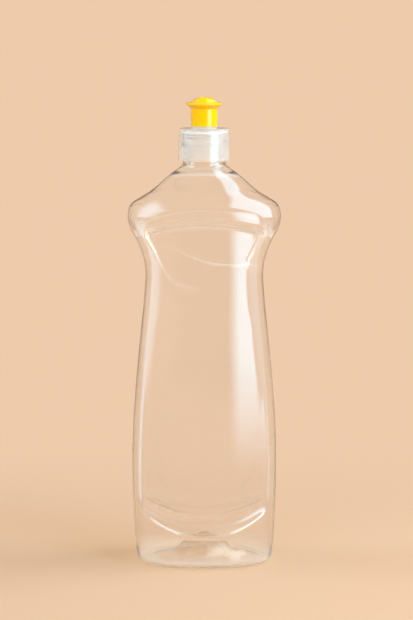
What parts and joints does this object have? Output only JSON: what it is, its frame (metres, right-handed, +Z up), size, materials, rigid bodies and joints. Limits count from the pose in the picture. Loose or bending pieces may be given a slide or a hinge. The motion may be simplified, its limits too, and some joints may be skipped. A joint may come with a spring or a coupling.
{
  "type": "squeeze bottle",
  "caption": "Clear oval squeeze bottle with a pinched waist, recessed label panels and a domed base, closed by a translucent screw cap with a yellow push-pull spout.",
  "frame": {"origin": "on the table, under the middle of the foot", "axes": "+Z up along the neck; the front faces -Y; +X to the right seen from the front"},
  "size_m": [0.091, 0.0642, 0.2778],
  "materials": {
    "clear_pet": "clear, glossy, blown",
    "foam_liner": "matt expanded foam",
    "natural_polypropylene": "milky, satin, injection moulded",
    "yellow_polyethylene": "satin, injection moulded"
  },
  "bodies": {
    "body": {"bottle": "clear_pet"},
    "seal": {"seal_ring": "foam_liner"},
    "cap": {"screw_cap": "natural_polypropylene"},
    "spout": {"push_pull_spout": "yellow_polyethylene"}
  },
  "joints": [
    {"name": "cap_rise", "type": "slide", "parent": "body", "child": "seal", "axis": [0, 0, 1], "range_m": [0, 0.00635]},
    {"name": "cap_turn", "type": "hinge", "parent": "seal", "child": "cap", "pos_m": [0, 0, 0.2579], "axis": [0, 0, 1], "range_deg": [0, 540]},
    {"name": "spout_pull", "type": "slide", "parent": "cap", "child": "spout", "axis": [0, 0, 1], "range_m": [0, 0.005]}
  ],
  "couplings": [
    {"joint": "cap_rise", "follows": "cap_turn", "m_per_rad": 0.00067376}
  ]
}
